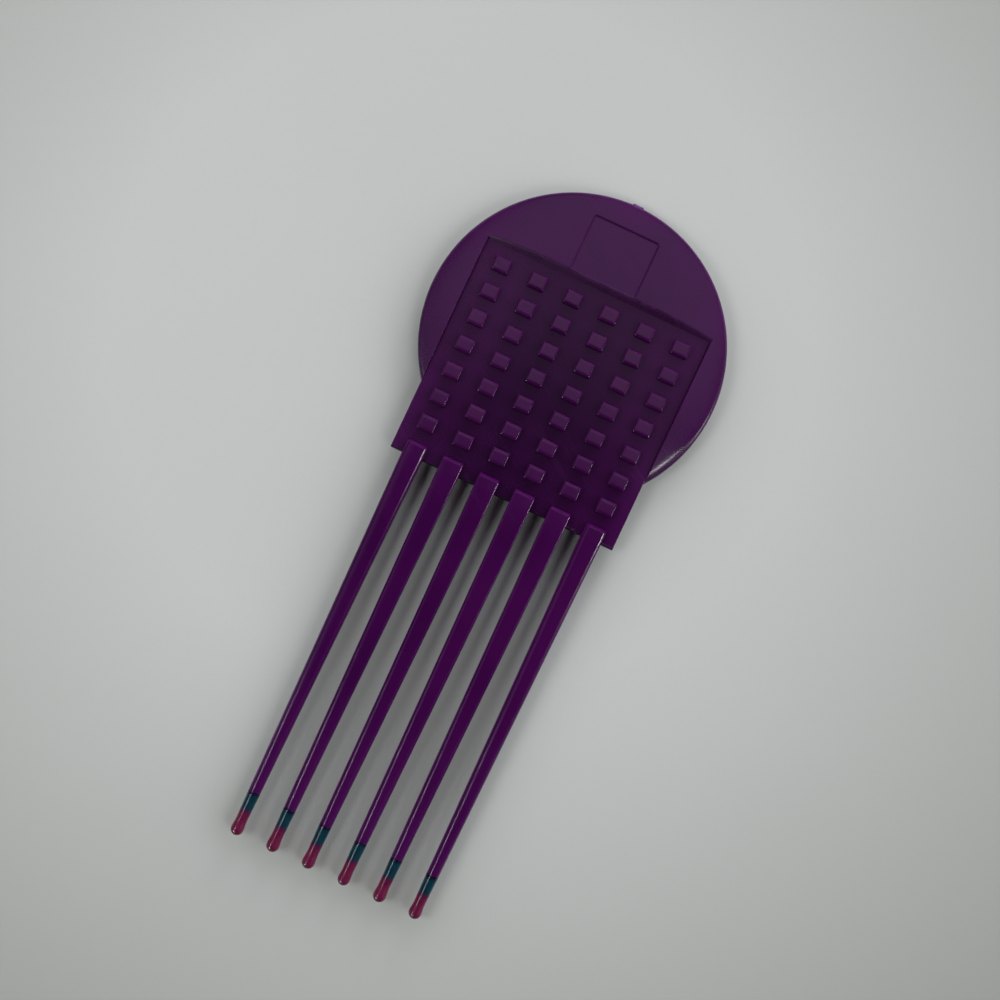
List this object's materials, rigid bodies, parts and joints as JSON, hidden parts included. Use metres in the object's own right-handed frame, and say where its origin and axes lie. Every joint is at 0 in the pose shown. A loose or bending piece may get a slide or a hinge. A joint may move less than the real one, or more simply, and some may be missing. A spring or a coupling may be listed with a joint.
{
  "type": "afro pick",
  "caption": "Flat plastic afro pick: a round grip disc with a studded plate let into it, and long parallel tapering tines with colour-dipped rounded ends, for lifting and shaping hair.",
  "frame": {"origin": "middle of the pick's outline, on the flat surface that its back lies on", "axes": "+Y along the pick from the tine tips to the grip disc, +X across the tines, +Z out of the front face"},
  "size_m": [0.0744, 0.1784, 0.005],
  "materials": {
    "purple_plastic": "deep purple moulded plastic, satin on the disc and plate, glossier on the tines",
    "teal_dip": "dark blue-green dip coat, glossy, with an uneven edge",
    "red_dip": "raspberry red dip coat, glossy, drawn into a bead at the tip"
  },
  "bodies": {
    "root": {"handle_disc": "purple_plastic", "stud_plate": "purple_plastic", "tine_1": "purple_plastic", "tine_2": "purple_plastic", "tine_3": "purple_plastic", "tine_4": "purple_plastic", "tine_5": "purple_plastic", "tine_6": "purple_plastic", "teal_coat_1": "teal_dip", "teal_coat_2": "teal_dip", "teal_coat_3": "teal_dip", "teal_coat_4": "teal_dip", "teal_coat_5": "teal_dip", "teal_coat_6": "teal_dip", "red_tip_1": "red_dip", "red_tip_2": "red_dip", "red_tip_3": "red_dip", "red_tip_4": "red_dip", "red_tip_5": "red_dip", "red_tip_6": "red_dip"}
  },
  "joints": []
}
